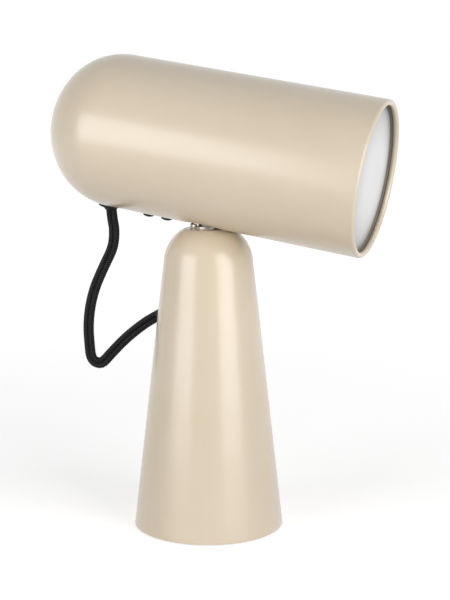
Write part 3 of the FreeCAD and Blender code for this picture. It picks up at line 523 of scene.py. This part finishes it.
def screw_row_tree():
    """Puts one screw on each point, all leaning the same way."""
    tree, given = new_tree("screw_row", [
        ("Screw", "NodeSocketObject", None), ("Lean", "NodeSocketVector", None),
        ("Finish", "NodeSocketMaterial", None)])
    one = put(tree, "GeometryNodeObjectInfo", Object=given["Screw"]).outputs["Geometry"]
    points = put(tree, "GeometryNodeMeshToPoints", Mesh=given["Geometry"]).outputs[0]
    row = put(tree, "GeometryNodeInstanceOnPoints", Points=points, Instance=one,
              Rotation=given["Lean"]).outputs[0]
    close_tree(tree, row, given["Finish"])
    return tree


def grow(name, points, edges, tree, values):
    """Plain mesh piece that a tree makes from these points."""
    seed = bpy.data.meshes.new(name)
    seed.from_pydata(points, edges, [])
    holder = add_object(name + "_seed", seed)
    growth = holder.modifiers.new("growth", "NODES")
    growth.node_group = tree
    labels = {item.name: item.identifier for item in tree.interface.items_tree
              if item.item_type == "SOCKET" and item.in_out == "INPUT"}
    for label, value in values.items():
        growth[labels[label]] = value
    bpy.context.view_layer.update()
    eye = bpy.context.evaluated_depsgraph_get()
    mesh = bpy.data.meshes.new_from_object(holder.evaluated_get(eye))
    mesh.name = name
    holder.modifiers.remove(growth)
    bpy.data.objects.remove(holder)
    face_outward(mesh, merge=0.000001)
    return add_object(name, mesh)


# Base shell: a turned, tapering shell with a rounded shoulder, in millimetres until it is placed
BASE_RADIUS, BASE_WALL, BASE_GAP = 60.0, 1.5, 0.8
TOP_HEIGHT, TOP_EDGE, STUD_HOLE = 240.9, 1.7, 5.05
SHOULDER_RADIUS, SHOULDER_OFFSET, SHOULDER_DROP = 31.5, 3.9, 27.7
HEM_ROUND, HEM_STEPS = 0.45, 6
GLAND_HOLE = 5.1
CORD_HOLE_HEIGHT, MAINS_HOLE_HEIGHT = 0.7053 * TOP_HEIGHT, 26.0


def base_side_lean():
    rise = TOP_HEIGHT - SHOULDER_DROP - BASE_GAP
    run = BASE_RADIUS - SHOULDER_OFFSET
    return math.atan2(run, rise) - math.asin(SHOULDER_RADIUS / math.hypot(run, rise))


def base_skin(inset):
    """Points up one skin of the base, from its bottom edge to the stud's hole."""
    lean = base_side_lean()
    radius, edge, top = SHOULDER_RADIUS - inset, TOP_EDGE - inset, TOP_HEIGHT - inset
    shoulder = TOP_HEIGHT - SHOULDER_DROP
    bottom = BASE_RADIUS - inset / math.cos(lean)
    touch = (SHOULDER_OFFSET + radius * math.cos(lean), shoulder + radius * math.sin(lean))
    corner_z = top - edge
    corner_x = SHOULDER_OFFSET + math.sqrt((radius - edge) ** 2 - (corner_z - shoulder) ** 2)
    out = math.atan2(corner_z - shoulder, corner_x - SHOULDER_OFFSET)
    rise = [0.002] + [k / 46 for k in range(1, 46)] + [0.996, 1.0]
    points = [(bottom + (touch[0] - bottom) * t, BASE_GAP + (touch[1] - BASE_GAP) * t) for t in rise]
    for k in range(1, 49):
        turn = lean + (out - lean) * k / 48
        points.append((SHOULDER_OFFSET + radius * math.cos(turn), shoulder + radius * math.sin(turn)))
    for k in range(1, 9):
        turn = out + (math.pi / 2 - out) * k / 8
        points.append((corner_x + edge * math.cos(turn), corner_z + edge * math.sin(turn)))
    points += [(corner_x + (STUD_HOLE + 0.2 - corner_x) * t, top) for t in (0.03, 0.25, 0.5, 0.75, 0.97, 1.0)]
    return points


def hem_corner(x, z, turn):
    """Quarter of a small round about this point, clockwise from this turn."""
    turns = [turn - math.pi / 2 * k / HEM_STEPS for k in range(HEM_STEPS + 1)]
    return [(x + HEM_ROUND * math.cos(a), z + HEM_ROUND * math.sin(a)) for a in turns]


def base_outline():
    """Both skins of the base, joined by a rounded hem below and the stud's hole above."""
    outer, inner = base_skin(0.0), base_skin(BASE_WALL)
    hem = (hem_corner(outer[0][0] - HEM_ROUND, outer[0][1] + HEM_ROUND, 0.0)
           + hem_corner(inner[0][0] + HEM_ROUND, inner[0][1] + HEM_ROUND, -math.pi / 2))
    rim = [(STUD_HOLE, outer[-1][1] - 0.2), (STUD_HOLE, inner[-1][1] + 0.2)]
    return hem[::-1] + outer[1:] + rim + inner[:0:-1]


def make_base_shell():
    lean = base_side_lean()
    holes = []
    for height in (CORD_HOLE_HEIGHT, MAINS_HOLE_HEIGHT):
        at = BASE_RADIUS - (height - BASE_GAP) * math.tan(lean)
        holes.append((-at * MM, 0.0, height * MM))
    outline = [(x * MM, 0.0, z * MM) for x, z in base_outline()]
    edges = [(k, (k + 1) % len(outline)) for k in range(len(outline))]
    shell = grow("base_turned_shell", outline, edges, turned_shell_tree(), {
        "Segments": 176, "Hole Radius": GLAND_HOLE * MM, "Hole Lean": -math.pi / 2 + lean,
        "Upper Hole": holes[0], "Lower Hole": holes[1], "Finish": looks["beige_paint"]})
    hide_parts("base_shell")
    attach(shell, "base")


def head_place(s, t):
    """Place in the lamp of a point at s along the head's axis and t above it, in millimetres."""
    return ((s * math.cos(HEAD_TILT) + t * math.sin(HEAD_TILT)) * MM, 0.0,
            (HEAD_AXIS - s * math.sin(HEAD_TILT) + t * math.cos(HEAD_TILT)) * MM)


def make_diffuser(steps=160, rows_of_dome=40):
    """Opal cap: a shallow dome with a flat margin under its gasket."""
    face, back, edge, margin, crown = 130.3, 128.5, 59.05, 56.6, 4.2
    rows = [(edge * 0.5, back), (edge - 0.2, back), (edge, back + 0.2), (edge, face - 0.2),
            (edge - 0.2, face), (margin + 0.3, face)]
    for k in range(rows_of_dome, 0, -1):
        radius = margin * k / rows_of_dome
        rows.append((radius, face + crown * (1 - (radius / margin) ** 2.6)))
    verts = [head_place(back, 0.0)]
    for radius, along in rows:
        for j in range(steps):
            turn = FULL_TURN * j / steps
            x, _, z = head_place(along, radius * math.cos(turn))
            verts.append((x, radius * MM * math.sin(turn), z))
    verts.append(head_place(face + crown, 0.0))
    last = len(verts) - 1
    faces = ring_faces(len(rows), steps, first=1)
    for j in range(steps):
        nxt = (j + 1) % steps
        faces.append((0, 1 + nxt, 1 + j))
        faces.append((last, last - steps + j, last - steps + nxt))
    mesh = bpy.data.meshes.new("opal_diffuser")
    mesh.from_pydata(verts, [], faces)
    mesh.materials.append(looks["opal_plastic"])
    cap = smooth_piece("opal_diffuser", mesh)
    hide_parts("diffuser")
    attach(cap, "head")


# Screws: domed heads with a cross recess, two under the head and three under the base
def cross_cutter(name, radius, height):
    """Two crossed bars that narrow upwards, for the recess."""
    bm = bmesh.new()
    long, short, deep = radius * 0.52 * MM, radius * 0.13 * MM, height * 0.5 * MM
    for size in ((long, short, deep), (short, long, deep)):
        made = bmesh.ops.create_cube(bm, size=2.0)
        bmesh.ops.scale(bm, vec=size, verts=made["verts"])
        bmesh.ops.translate(bm, vec=(0, 0, -height * MM), verts=made["verts"])
        for vert in made["verts"]:
            if vert.co.z > -height * MM:
                vert.co.x *= 0.72
                vert.co.y *= 0.72
    mesh = bpy.data.meshes.new(name)
    bm.to_mesh(mesh)
    bm.free()
    return add_object(name, mesh)


def screw_shape(name, radius, height, shaft, length):
    """One screw along Z in millimetres, its domed head below zero. The object isn't in the scene."""
    dome = (radius ** 2 + (height * 0.5) ** 2) / height
    reach = math.asin(min(1.0, radius / dome))
    side = [(0.0, -height)]
    for k in range(1, 15):
        turn = reach * k / 15
        side.append((dome * math.sin(turn), -height + dome * (1 - math.cos(turn))))
    side += [(radius - 0.06, -0.5 * height), (radius, -0.44 * height), (radius, -0.06 * height),
             (radius - 0.1, 0.0), (shaft + 0.1, 0.0), (shaft, 0.12), (shaft, length - 0.4),
             (shaft - 0.4, length), (0.0, length)]
    bm = bmesh.new()
    verts = [bm.verts.new((x * MM, 0.0, z * MM)) for x, z in side]
    edges = [bm.edges.new(pair) for pair in zip(verts, verts[1:])]
    bmesh.ops.spin(bm, geom=verts + edges, cent=(0, 0, 0), axis=(0, 0, 1), angle=FULL_TURN, steps=48,
                   use_duplicate=False)
    mesh = bpy.data.meshes.new(name)
    bm.to_mesh(mesh)
    bm.free()
    face_outward(mesh, merge=0.000002)
    blank = add_object(name, mesh)
    cross = cross_cutter(name + "_cross", radius, height)
    cut = blank.modifiers.new("recess", "BOOLEAN")
    cut.operation, cut.object, cut.solver, cut.use_self = "DIFFERENCE", cross, "EXACT", True
    bpy.context.view_layer.update()
    eye = bpy.context.evaluated_depsgraph_get()
    finished = bpy.data.meshes.new_from_object(blank.evaluated_get(eye))
    bpy.data.objects.remove(blank)
    bpy.data.objects.remove(cross)
    finished.name = name
    return bpy.data.objects.new(name, finished)


BRACKET_SCREWS_AT = (-41.4, -25.7)      # along the head's axis
BASE_SCREWS_RING, BASE_SCREWS_HEIGHT = 40.0, 1.6


def make_screws():
    tree = screw_row_tree()
    under_head = screw_shape("bracket_screw", radius=4.45, height=2.8, shaft=2.0, length=17.1)
    places = [head_place(s, -HEAD_RADIUS) for s in BRACKET_SCREWS_AT]
    row = grow("bracket_screw_pair", places, [], tree, {
        "Screw": under_head, "Lean": (0.0, HEAD_TILT, 0.35), "Finish": looks["black_screws"]})
    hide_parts("bracket_screws")
    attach(row, "head")
    under_base = screw_shape("base_screw", radius=3.6, height=1.1, shaft=2.0, length=17.0)
    ring, height = BASE_SCREWS_RING * MM, BASE_SCREWS_HEIGHT * MM
    turns = [math.radians(120 * k) for k in range(3)]
    places = [(ring * math.cos(a), ring * math.sin(a), height) for a in turns]
    row = grow("base_screw_ring", places, [], tree, {
        "Screw": under_base, "Lean": (0.0, 0.0, 0.2), "Finish": looks["zinc_steel"]})
    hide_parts("base_screws")
    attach(row, "base")
    for screw in (under_head, under_base):
        bpy.data.objects.remove(screw)


make_base_shell()
make_diffuser()
make_screws()


# Head gland: a black boot that tapers from a round foot on the head's wall to the cord
BOOT_FOOT = np.array((-85.35 * MM, 0.0, 256.35 * MM))
BOOT_FOOT_RADIUS = 7.8 * MM
BOOT_FOOT_RIM = 1.3 * MM
BOOT_FOOT_LEAN = HEAD_TILT + math.radians(4.5)
BOOT_ROOT = 2.2 * MM            # how far the foot goes into the wall
BOOT_OVERHANG = 0.9 * MM        # how far the boot's end is past the cord's exit
BOOT_WAIST = 0.7 * MM           # how far its side bows inwards
BOOT_SIDES, BOOT_STEPS = 72, 14


def cord_boot():
    """Loft from the round foot to the cord's own outline, with a rounded lip."""
    wall_down = np.array([-math.sin(BOOT_FOOT_LEAN), 0.0, -math.cos(BOOT_FOOT_LEAN)])
    wall_along = np.array([math.cos(BOOT_FOOT_LEAN), 0.0, -math.sin(BOOT_FOOT_LEAN)])
    thick = np.array([0.0, 1.0, 0.0])
    (x, z), (next_x, next_z) = CORD_ROUTE[:2]
    exit_down = np.array([next_x - x, 0.0, next_z - z])
    exit_down /= np.linalg.norm(exit_down)
    exit_wide = np.array([-exit_down[2], 0.0, exit_down[0]])
    exit_at = np.array([x, 0.0, z]) + BOOT_OVERHANG * exit_down
    turns = np.arange(BOOT_SIDES) / BOOT_SIDES * FULL_TURN
    cosines, sines = np.cos(turns)[:, None], np.sin(turns)[:, None]

    def round_ring(drop, radius):
        return BOOT_FOOT + wall_down * drop + radius * (cosines * wall_along + sines * thick)

    def cord_ring(back, room):
        half_wide = LOBE_APART + LOBE_RADIUS + room
        half_thick = LOBE_RADIUS + room
        return exit_at - exit_down * back + half_wide * cosines * exit_wide + half_thick * sines * thick

    rings = [round_ring(-BOOT_ROOT, 4.9 * MM), round_ring(-BOOT_ROOT, BOOT_FOOT_RADIUS - 0.3 * MM),
             round_ring(-1.0 * MM, BOOT_FOOT_RADIUS), round_ring(BOOT_FOOT_RIM * 0.7, BOOT_FOOT_RADIUS)]
    low = round_ring(BOOT_FOOT_RIM, BOOT_FOOT_RADIUS - 0.35 * MM)
    lip = cord_ring(0.35 * MM, 0.75 * MM)
    for step in np.linspace(0.0, 1.0, BOOT_STEPS):
        ease = step ** 0.8
        ring = low * (1.0 - ease) + lip * ease
        outward = ring - ring.mean(axis=0)
        outward /= np.linalg.norm(outward, axis=1)[:, None]
        rings.append(ring - outward * BOOT_WAIST * math.sin(math.pi * step))
    rings += [cord_ring(0.05 * MM, 0.55 * MM), cord_ring(0.0, 0.2 * MM), cord_ring(0.5 * MM, 0.05 * MM),
              cord_ring(2.0 * MM, 0.02 * MM)]
    verts = np.concatenate(rings)
    caps = [tuple(range(BOOT_SIDES)), tuple(range(len(verts) - BOOT_SIDES, len(verts)))]
    mesh = bpy.data.meshes.new("cord_boot")
    mesh.from_pydata(verts.tolist(), [], ring_faces(len(rings), BOOT_SIDES) + caps)
    mesh.materials.append(looks["black_plastic"])
    return smooth_piece("cord_boot", mesh)


boot = cord_boot()
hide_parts("head_gland")
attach(boot, "head")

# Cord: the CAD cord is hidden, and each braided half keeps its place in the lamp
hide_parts("cord")
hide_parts("cord")
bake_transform(cord_head_side)
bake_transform(cord_base_side)


# Light: two softboxes, a white room and a white floor that keeps the lamp's shadow
LIGHT_AIM = Vector((0.0, 0.0, 0.22))


def softbox(name, place, width, height, power):
    data = bpy.data.lights.new(name, "AREA")
    data.shape = "RECTANGLE"
    data.size, data.size_y = width, height
    data.energy = power
    lamp = add_object(name, data)
    lamp.location = place
    lamp.rotation_euler = (LIGHT_AIM - Vector(place)).to_track_quat("-Z", "Y").to_euler()


softbox("left_softbox", (-0.90, -1.44, 0.40), 1.2, 1.2, 18.4)
softbox("right_softbox", (1.43, -0.72, 0.46), 1.15, 1.5, 23.6)


def seen_ray(tree):
    """One for rays from the camera, from gloss and through glass, else zero."""
    rays = put(tree, "ShaderNodeLightPath").outputs
    gloss = combine(tree, "MAXIMUM", rays["Is Camera Ray"], rays["Is Glossy Ray"])
    return combine(tree, "MAXIMUM", gloss, rays["Is Transmission Ray"])


def white_room():
    world = bpy.data.worlds.new("white_room")
    bpy.context.scene.world = world
    world.use_nodes = True
    tree = world.node_tree
    background = tree.nodes["Background"]
    background.inputs["Color"].default_value = (1, 1, 1, 1)
    tree.links.new(spread(tree, seen_ray(tree), 0.13, 1.0, 0.0, 1.0), background.inputs["Strength"])


def white_floor():
    mesh = bpy.data.meshes.new("floor")
    mesh.from_pydata([(-3, -3, 0), (3, -3, 0), (3, 3, 0), (-3, 3, 0)], [], [(0, 1, 2, 3)])
    floor = add_object("floor", mesh)
    material, tree, body, place = new_material("white_floor", Roughness=0.9, Specular_IOR_Level=0.0)
    body.inputs["Base Color"].default_value = (0.8, 0.8, 0.8, 1)
    body.inputs["Emission Color"].default_value = (1, 1, 1, 1)
    # Less light falls on the floor further away, so its own white makes up for it there.
    away = put(tree, "ShaderNodeVectorMath", {"operation": "LENGTH"}, i0=place).outputs["Value"]
    own = spread(tree, away, 0.66, 0.94, 0.2, 1.5)
    tree.links.new(combine(tree, "MULTIPLY", seen_ray(tree), own), body.inputs["Emission Strength"])
    mesh.materials.append(material)


white_room()
white_floor()
bpy.context.scene.view_settings.view_transform = "Standard"
